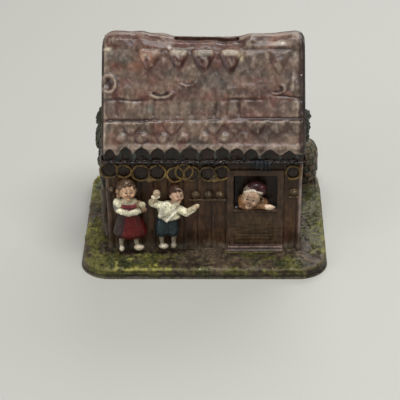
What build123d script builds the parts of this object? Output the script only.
"""A cast iron still bank: a gingerbread cottage on a plinth, with a coin slot in the ridge.

The cottage is two castings that meet on a seam under the ridge, held together by two long screws.
It stands on a hollow plinth, held by four screws from below. Three small figures are cast on their
own and riveted to the front wall. An oblong trap under the plinth lets the coins out.
Millimetres. X runs along the ridge, Y from the front wall to the back, Z up from the table.
"""

import os
from math import cos, hypot, radians, sin

from build123d import *

os.makedirs("parts", exist_ok=True)

# Plinth: a hollow slab of ground with a raised floor that fits inside the walls
plinth_width = 115.0
plinth_depth = 98.0
plinth_corner = 14.0
ground_top = 5.5
ground_thickness = 3.0
ground_edge_round = 2.2
rim_width = 4.0
floor_top = 11.0
floor_thickness = 3.0
floor_skirt = 3.0
fit_gap = 0.3

# Cottage walls
house_width = 90.0
house_depth = 61.0
wall = 3.2
wall_top = 51.5

# Roof: two slopes with a thick icing edge and a flat ridge band that holds the coin slot
roof_overhang_side = 1.3
roof_overhang_front = 5.0
eave_height = 9.0
ridge_top = 103.5
ridge_band = 9.0
ridge_crown = 1.2
roof_thickness = 4.0
slot_length = 29.5
slot_width = 3.2
slot_offset = 1.5
slot_dip = 3.4
slot_dip_margin = 2.0

# Icing arches along each eave
arch_count = 12
arch_pitch = 7.35
arch_middle = -2.0
arch_radius = 2.6
arch_rise = 5.0
arch_depth = 1.3

# Front door: a frame, an open upper half and a closed lower leaf over a step
door_centre = 23.8
door_opening = 20.0
door_sill = 27.0
door_head = 44.5
door_foot = 8.5
door_recess = 1.8
leaf_recess = 0.5
frame_width = 3.0
frame_proud = 0.9
step_height = 2.6
step_depth = 3.8

# Sugar rings under the eave and buns on the shelf
ring_radius = 3.0
ring_wire = 0.85
ring_height = 46.6
ring_places = (-40.5, -33.6, -27.4, -21.0, -12.9, -6.1, 0.7, 7.2, 41.0)
bun_radius = 2.5
bun_height = 34.9
bun_places = (-3.8, 2.0, 7.6, 41.3)
shelf_left = -6.8
shelf_right = 10.0
shelf_proud = 1.4
shelf_thickness = 1.4

# Cast relief on the gables: x is the side, then y, z and radius of each round clump
tree_clumps = (
    (-1, 15.0, 41.0, 11.0),
    (-1, 22.0, 31.0, 10.0),
    (-1, 8.0, 33.0, 9.0),
    (-1, 14.0, 51.0, 8.0),
    (1, 11.0, 51.0, 7.0),
)
clump_proud = 7.5
trunk_radius = 3.0
oven_radius = 9.3
oven_wall_height = 13.0
oven_off_gable = 1.0
oven_off_back = 8.0

# Screws that draw the two halves together, and screws that hold the plinth
seam_screw_inset = 7.3
seam_screw_below_eave = 4.0
seam_screw_radius = 2.0
seam_thread = 14.0
seam_boss = 4.2
plinth_screw_inset_x = 6.8
plinth_screw_inset_y = 5.8
plinth_screw_radius = 1.8
plinth_thread = 12.0
plinth_boss = 4.5
boss_height = 16.0
head_radius = 3.6
head_height = 2.2
head_slot = 1.0
screw_gap = 0.1

# Figures: each is riveted through the front wall
rivet_radius = 2.0
rivet_head = 3.2
rivet_head_height = 0.8

# Trap: an oblong plate that drops out when its cross bar is turned along the hole
trap_length = 42.0
trap_width = 24.0
trap_gap = 0.4
trap_flange = 3.5
trap_flange_thickness = 1.55
trap_seat_gap = 0.15
pin_radius = 2.0
pin_gap = 0.05
pin_collar = 4.0
pin_collar_height = 1.0
tab_length = 16.0
tab_thickness = 1.6
tab_clear = 1.0
tab_hole = 0.9
tenon = 2.6
tenon_gap = 0.05
bar_length = 34.0
bar_width = 6.0
bar_thickness = 2.0
bar_lift = 0.4
peen_radius = 2.3
peen_height = 0.8

# Worked out from the sizes above
front_face = -house_depth / 2
inner_face = front_face + wall
eave_y = house_depth / 2 + roof_overhang_front
eave_top = wall_top + eave_height
inner_half_width = house_width / 2 - wall
inner_half_depth = house_depth / 2 - wall
ground_under = ground_top - ground_thickness
floor_under = floor_top - floor_thickness
slope_rise = ridge_top - ridge_crown - eave_top
slope_run = eave_y - ridge_band / 2
slope_length = hypot(slope_rise, slope_run)
oven_x = house_width / 2 + oven_off_gable
oven_y = house_depth / 2 + oven_off_back
seam_screw_x = inner_half_width - seam_screw_inset
seam_screw_z = wall_top - seam_screw_below_eave
plinth_screw_x = inner_half_width - plinth_screw_inset_x
plinth_screw_y = inner_half_depth - plinth_screw_inset_y
far = 200.0


def block(low, high):
    """A box given by its lowest and highest corners."""
    size = [high[i] - low[i] for i in range(3)]
    middle = [(high[i] + low[i]) / 2 for i in range(3)]
    return Pos(*middle) * Box(*size)


def rounded_slab(width, depth, corner, low, high):
    """A slab with rounded corners, standing between two heights."""
    return Pos(0, 0, low) * extrude(RectangleRounded(width, depth, corner), high - low)


def oblong(length, width, low, high):
    """A slab with fully rounded ends, standing between two heights."""
    return Pos(0, 0, low) * extrude(SlotOverall(length, width), high - low)


def along_ridge(points, half_width):
    """A prism along X from its outline in Y and Z."""
    outline = Plane.YZ * make_face(Polyline(*points, close=True))
    return extrude(outline, half_width, both=True)


def rod_y(x, z, radius, y_low, y_high):
    """A round bar along Y."""
    return Pos(x, (y_low + y_high) / 2, z) * Rot(90, 0, 0) * Cylinder(radius, y_high - y_low)


def rod_z(x, y, radius, z_low, z_high):
    """A round bar along Z."""
    return Pos(x, y, (z_low + z_high) / 2) * Cylinder(radius, z_high - z_low)


def limb(start, end, radius_start, radius_end):
    """A tapered limb with a ball at each end."""
    reach = Vector(*end) - Vector(*start)
    shaft = Plane(origin=start, z_dir=reach) * Pos(0, 0, reach.length / 2)
    cone = shaft * Cone(radius_start, radius_end, reach.length)
    return cone + Pos(*start) * Sphere(radius_start) + Pos(*end) * Sphere(radius_end)


def signs():
    """The four corners, as signs of X and Y."""
    return [(x, y) for x in (-1, 1) for y in (-1, 1)]


def roof_height(y):
    """Height of the roof's inner face at a distance from the ridge."""
    drop = roof_thickness * slope_length / slope_run
    return eave_top + (eave_y - abs(y)) * slope_rise / slope_run - drop


def make_plinth():
    """The hollow ground slab, its raised floor, the trap hole and the screw holes."""
    ground = rounded_slab(plinth_width, plinth_depth, plinth_corner, 0, ground_top)
    ground = fillet(ground.faces().sort_by(Axis.Z)[-1].edges(), ground_edge_round)
    floor_x = 2 * (inner_half_width - fit_gap)
    floor_y = 2 * (inner_half_depth - fit_gap)
    raised = rounded_slab(floor_x, floor_y, wall / 2, ground_under, floor_top)
    under_ground = rounded_slab(
        plinth_width - 2 * rim_width,
        plinth_depth - 2 * rim_width,
        plinth_corner - rim_width,
        -1,
        ground_under,
    )
    under_floor = rounded_slab(
        floor_x - 2 * floor_skirt, floor_y - 2 * floor_skirt, wall / 2, -1, floor_under
    )
    solid = ground + raised - under_ground - under_floor
    solid -= oblong(trap_length, trap_width, 0, floor_top + 1)
    for x, y in signs():
        place = (x * plinth_screw_x, y * plinth_screw_y)
        solid -= rod_z(*place, plinth_screw_radius + screw_gap, 0, floor_top + 1)
        solid -= rod_z(*place, head_radius + fit_gap, -1, floor_under)
    return solid


def make_shell():
    """Both halves of the cottage in one, before it is parted along the seam."""
    half_depth = house_depth / 2
    shoulder = wall_top + eave_height / 2
    walls = along_ridge(
        [
            (-half_depth, ground_top),
            (-half_depth, shoulder),
            (0, ridge_top - roof_thickness),
            (half_depth, shoulder),
            (half_depth, ground_top),
        ],
        house_width / 2,
    )
    roof = along_ridge(
        [
            (-eave_y, wall_top),
            (-eave_y, eave_top),
            (-ridge_band / 2, ridge_top - ridge_crown),
            (0, ridge_top),
            (ridge_band / 2, ridge_top - ridge_crown),
            (eave_y, eave_top),
            (eave_y, wall_top),
        ],
        house_width / 2 + roof_overhang_side,
    )
    shell = walls + roof
    for side, y, z, radius in tree_clumps:
        x = side * (house_width / 2 + clump_proud - radius)
        shell += Pos(x, y, z) * Sphere(radius)
    side, y, z, radius = tree_clumps[0]
    shell += rod_z(side * house_width / 2, y, trunk_radius, ground_top, z)
    shell += make_oven()
    chamber = along_ridge(
        [
            (-inner_half_depth, ground_top - 1),
            (-inner_half_depth, roof_height(inner_half_depth)),
            (-ridge_band / 2, roof_height(ridge_band / 2)),
            (ridge_band / 2, roof_height(ridge_band / 2)),
            (inner_half_depth, roof_height(inner_half_depth)),
            (inner_half_depth, ground_top - 1),
        ],
        inner_half_width,
    )
    shell -= chamber
    slot_low = (slot_offset - slot_length / 2, -slot_width / 2, roof_height(0) - 2 * wall)
    slot_high = (slot_offset + slot_length / 2, slot_width / 2, ridge_top + 1)
    shell -= block(slot_low, slot_high)
    dip_x = slot_length / 2 + slot_dip_margin
    dip_z = ridge_top - slot_dip
    shell -= block((slot_offset - dip_x, -far, dip_z), (slot_offset + dip_x, far, far))
    return shell - eave_arches()


def make_oven():
    """A round bake oven with a domed top at the rear corner."""
    dome_z = ground_top + oven_wall_height
    oven = rod_z(oven_x, oven_y, oven_radius, ground_top, dome_z)
    return oven + Pos(oven_x, oven_y, dome_z) * Sphere(oven_radius)


def eave_arches():
    """Shallow arched pockets under the icing, along both eaves."""
    pockets = []
    for i in range(arch_count):
        x = arch_middle + (i - (arch_count - 1) / 2) * arch_pitch
        for side in (-1, 1):
            y_face = side * eave_y
            low = min(y_face, y_face - side * arch_depth)
            high = max(y_face, y_face - side * arch_depth)
            pockets.append(rod_y(x, wall_top + arch_rise, arch_radius, low, high))
    return pockets


def seam_bosses(side):
    """The two tubes that the seam screws pass through, on one half."""
    low = min(0, side * (inner_half_depth + wall / 2))
    high = max(0, side * (inner_half_depth + wall / 2))
    return [rod_y(x * seam_screw_x, seam_screw_z, seam_boss, low, high) for x in (-1, 1)]


def corner_bosses(side):
    """The two corner posts that the plinth screws bite into, on one half."""
    posts = []
    top = floor_top + boss_height
    for x in (-1, 1):
        place_x = x * plinth_screw_x
        place_y = side * plinth_screw_y
        posts.append(rod_z(place_x, place_y, plinth_boss, floor_top, top))
        edge_x = x * (inner_half_width + wall / 2)
        web_low = (min(place_x, edge_x), place_y - wall / 2, floor_top)
        web_high = (max(place_x, edge_x), place_y + wall / 2, top)
        posts.append(block(web_low, web_high))
        edge_y = side * (inner_half_depth + wall / 2)
        web_low = (place_x - wall / 2, min(place_y, edge_y), floor_top)
        web_high = (place_x + wall / 2, max(place_y, edge_y), top)
        posts.append(block(web_low, web_high))
    return posts


def make_half(shell, side):
    """One half of the cottage, with its bosses: side -1 is the front, 1 the back."""
    y_low = -far if side < 0 else 0
    y_high = 0 if side < 0 else far
    half = shell & block((-far, y_low, -1), (far, y_high, far))
    return half + seam_bosses(side) + corner_bosses(side)


def drill_plinth_threads(half, side):
    """The holes that the plinth screws cut their thread in."""
    for x in (-1, 1):
        top = floor_top + plinth_thread + wall
        place = (x * plinth_screw_x, side * plinth_screw_y)
        half -= rod_z(*place, plinth_screw_radius + screw_gap, floor_top - 1, top)
    return half


def add_front_door(front):
    """The frame, the open upper half, the closed leaf and the doorstep."""
    left = door_centre - door_opening / 2
    right = door_centre + door_opening / 2
    face = front_face
    frame_low = (left - frame_width, face - frame_proud, ground_top)
    frame_high = (right + frame_width, face + wall / 2, door_head + frame_width)
    front += block(frame_low, frame_high)
    step_low = (left - frame_width, face - step_depth, ground_top)
    step_high = (right + frame_width, face, ground_top + step_height)
    front += block(step_low, step_high)
    leaf_low = (left, face - frame_proud - 1, door_foot)
    leaf_high = (right, face - frame_proud + leaf_recess, door_sill)
    front -= block(leaf_low, leaf_high)
    open_low = (left, face - frame_proud - 1, door_sill)
    open_high = (right, face + door_recess, door_head)
    return front - block(open_low, open_high)


def add_sweets(front):
    """The sugar rings under the eave, and the buns on their shelf."""
    ring_y = front_face - ring_wire / 2
    for x in ring_places:
        front += Pos(x, ring_y, ring_height) * Rot(90, 0, 0) * Torus(ring_radius, ring_wire)
    shelf_low = (shelf_left, front_face - shelf_proud, bun_height - bun_radius - shelf_thickness)
    shelf_high = (shelf_right, front_face + wall / 2, bun_height - bun_radius)
    front += block(shelf_low, shelf_high)
    buns = [Pos(x, front_face + wall / 4, bun_height) * Sphere(bun_radius) for x in bun_places]
    return front + buns


def rivet(x, z):
    """A figure's rivet: its shank through the wall and its spread end inside."""
    shank = rod_y(x, z, rivet_radius, front_face - 2 * wall / 3, inner_face + rivet_head_height)
    spread = rod_y(x, z, rivet_head, inner_face, inner_face + rivet_head_height)
    return shank + spread


def seat_figure(pieces, front, x, z):
    """Fuses a figure, fits its back to the front wall and adds its rivet."""
    body = pieces[0]
    for piece in pieces[1:]:
        body += piece
    inside = block((-far, inner_face - wall / 2, -1), (far, far, far))
    body = body - front - inside - block((-far, -far, -far), (far, far, ground_top))
    return body + rivet(x, z)


# Places of the figures' rivets, and the depth that they stand in front of the wall
girl_x = -34.5
girl_rivet_z = 31.5
boy_x = -16.6
boy_rivet_z = 27.0
woman_x = 22.4
woman_rivet_z = 33.0
stand_y = front_face - 2.6


def make_girl(front):
    """A girl in a wide skirt, holding up a biscuit."""
    x = girl_x
    y = stand_y
    pieces = [
        Pos(x, y, 20.0) * Cone(7.2, 3.4, 14.0),
        limb((x, y, 25.0), (x, y, 31.5), 3.2, 3.4),
        Pos(x, y - 0.6, 38.6) * Sphere(4.9),
        limb((x - 3.8, y, 31.5), (x - 6.0, y, 27.5), 2.0, 1.6),
        limb((x - 6.0, y, 27.5), (x + 1.0, y - 1.5, 28.4), 1.6, 1.4),
        limb((x + 3.8, y, 31.5), (x + 6.0, y, 28.0), 2.0, 1.6),
        limb((x + 6.0, y, 28.0), (x + 6.4, y - 1.0, 31.4), 1.5, 1.4),
        limb((x - 3.4, y, 14.0), (x - 3.8, y, 7.4), 1.9, 1.6),
        limb((x + 3.4, y, 14.0), (x + 3.9, y, 7.4), 1.9, 1.6),
        Pos(x - 4.0, y - 1.0, 6.4) * Sphere(2.0),
        Pos(x + 4.2, y - 1.0, 6.4) * Sphere(2.0),
    ]
    return seat_figure(pieces, front, girl_x, girl_rivet_z)


def make_boy(front):
    """A boy in a loose shirt and shorts, one arm up and one held out."""
    x = boy_x
    y = stand_y
    pieces = [
        limb((x, y, 20.0), (x + 0.4, y, 30.0), 4.2, 4.4),
        limb((x - 2.8, y, 21.5), (x - 3.2, y, 15.8), 3.2, 2.9),
        limb((x + 2.8, y, 21.5), (x + 2.8, y, 15.8), 3.2, 2.9),
        limb((x - 3.2, y, 15.0), (x - 3.4, y, 7.4), 1.7, 1.4),
        limb((x + 2.8, y, 15.0), (x + 3.2, y, 7.4), 1.7, 1.4),
        Pos(x - 3.4, y - 1.0, 6.4) * Sphere(1.9),
        Pos(x + 3.4, y - 1.0, 6.4) * Sphere(1.9),
        Pos(x + 4.6, y - 0.4, 37.4) * Sphere(4.4),
        limb((x - 3.4, y, 30.6), (x - 6.9, y - 0.6, 32.4), 2.0, 1.8),
        limb((x - 6.9, y - 0.6, 32.4), (x - 3.9, y - 0.8, 38.4), 1.6, 1.7),
        limb((x + 4.0, y, 30.4), (x + 8.8, y - 0.8, 27.0), 2.1, 1.8),
        limb((x + 8.8, y - 0.8, 27.0), (x + 14.6, y - 1.0, 31.2), 1.7, 1.3),
    ]
    return seat_figure(pieces, front, boy_x, boy_rivet_z)


def make_woman(front):
    """An old woman in a headscarf, leaning over the lower door."""
    x = woman_x
    y = front_face - 0.6
    pieces = [
        Pos(x, y - 1.0, 35.0) * Sphere(4.8),
        Pos(x + 1.8, y - 0.4, 37.0) * Sphere(5.2),
        limb((x - 2.6, y, 31.5), (x + 4.0, y, 31.5), 3.6, 3.4),
        limb((x + 3.2, y - 1.6, 30.0), (x + 8.6, y - 2.0, 29.4), 1.9, 1.5),
    ]
    ledge = block((-far, -far, -far), (far, far, door_sill + 0.2))
    return seat_figure(pieces, front, woman_x, woman_rivet_z) - ledge


def make_screw(radius, length):
    """A slotted round-headed screw along Z, its head above the origin."""
    shank = rod_z(0, 0, radius, -length, 0)
    head = rod_z(0, 0, head_radius, 0, head_height)
    head = fillet(head.faces().sort_by(Axis.Z)[-1].edges(), head_height / 2)
    slot = block((-far, -head_slot / 2, head_height / 2), (far, head_slot / 2, far))
    return shank + head - slot


def make_seam_screws():
    """The two long screws that draw the halves together from the back."""
    screw = Rot(-90, 0, 0) * make_screw(seam_screw_radius, house_depth / 2 + seam_thread)
    return [Pos(x * seam_screw_x, house_depth / 2, seam_screw_z) * screw for x in (-1, 1)]


def make_plinth_screws():
    """The four screws that hold the cottage down, driven from below."""
    screw = make_screw(plinth_screw_radius, floor_thickness + plinth_thread)
    places = [(x * plinth_screw_x, y * plinth_screw_y, floor_under) for x, y in signs()]
    return [Pos(*place) * Rot(180, 0, 0) * screw for place in places]


def drill_front(front):
    """Thread holes for the seam screws and rivet holes for the figures."""
    for x in (-1, 1):
        radius = seam_screw_radius + screw_gap
        front -= rod_y(x * seam_screw_x, seam_screw_z, radius, -seam_thread - wall, 1)
    figures = ((girl_x, girl_rivet_z), (boy_x, boy_rivet_z), (woman_x, woman_rivet_z))
    for x, z in figures:
        front -= rod_y(x, z, rivet_radius + screw_gap, front_face - far, inner_face + wall)
    return front


def drill_back(back):
    """Clearance holes for the seam screws, right through the back."""
    for x in (-1, 1):
        radius = seam_screw_radius + fit_gap
        back -= rod_y(x * seam_screw_x, seam_screw_z, radius, -1, house_depth)
    return back


# Heights in the trap, from the floor's underside down to the finger tab
flange_top = floor_under - trap_seat_gap
flange_low = flange_top - trap_flange_thickness
land_top = floor_top - trap_seat_gap
collar_top = flange_low - 0.2
collar_low = collar_top - pin_collar_height
bar_low = floor_top + bar_lift
bar_top = bar_low + bar_thickness


def make_trap_plate():
    """The oblong plate: a flange under the floor and a land that fills the hole."""
    flange = oblong(
        trap_length + 2 * trap_flange, trap_width + 2 * trap_flange, flange_low, flange_top
    )
    land = oblong(
        trap_length - 2 * trap_gap, trap_width - 2 * trap_gap, flange_top, land_top
    )
    bore = rod_z(0, 0, pin_radius + pin_gap, 0, floor_top + 1)
    return flange + land - bore


def make_turn_pin():
    """The pin: a pierced finger tab, a collar, the shaft and a square tenon."""
    tab_x = tab_length / 2
    tab_y = tab_thickness / 2
    tab = block((-tab_x, -tab_y, tab_clear), (tab_x, tab_y, collar_low))
    for x in (-1, 1):
        middle = (tab_clear + collar_low) / 2
        tab -= rod_y(x * tab_length / 3, middle, tab_hole, -tab_thickness, tab_thickness)
    collar = rod_z(0, 0, pin_collar, collar_low, collar_top)
    shaft = rod_z(0, 0, pin_radius, collar_low, bar_low)
    square = block((-tenon / 2, -tenon / 2, bar_low), (tenon / 2, tenon / 2, bar_top))
    peen = rod_z(0, 0, peen_radius, bar_top, bar_top + peen_height)
    return tab + collar + shaft + square + peen


def make_lock_bar():
    """The cross bar on the pin's tenon, lined up with the trap hole."""
    bar = oblong(bar_length, bar_width, bar_low, bar_top)
    half = tenon / 2 + tenon_gap
    return bar - block((-half, -half, 0), (half, half, far))


def one_part(shape):
    """A single compound from a shape or a list of shapes."""
    return Compound(children=list(shape)) if isinstance(shape, list) else shape


shell = make_shell()
front = make_half(shell, -1)
front = drill_plinth_threads(add_sweets(add_front_door(front)), -1)
back = drill_plinth_threads(make_half(shell, 1), 1)
parts = {
    "plinth": make_plinth(),
    "girl_figure": make_girl(front),
    "boy_figure": make_boy(front),
    "old_woman_figure": make_woman(front),
    "house_front": drill_front(front),
    "house_back": drill_back(back),
    "seam_screws": make_seam_screws(),
    "plinth_screws": make_plinth_screws(),
    "trap_plate": make_trap_plate(),
    "turn_pin": make_turn_pin(),
    "lock_bar": make_lock_bar(),
}
for name, shape in parts.items():
    export_step(one_part(shape), f"parts/{name}.step")
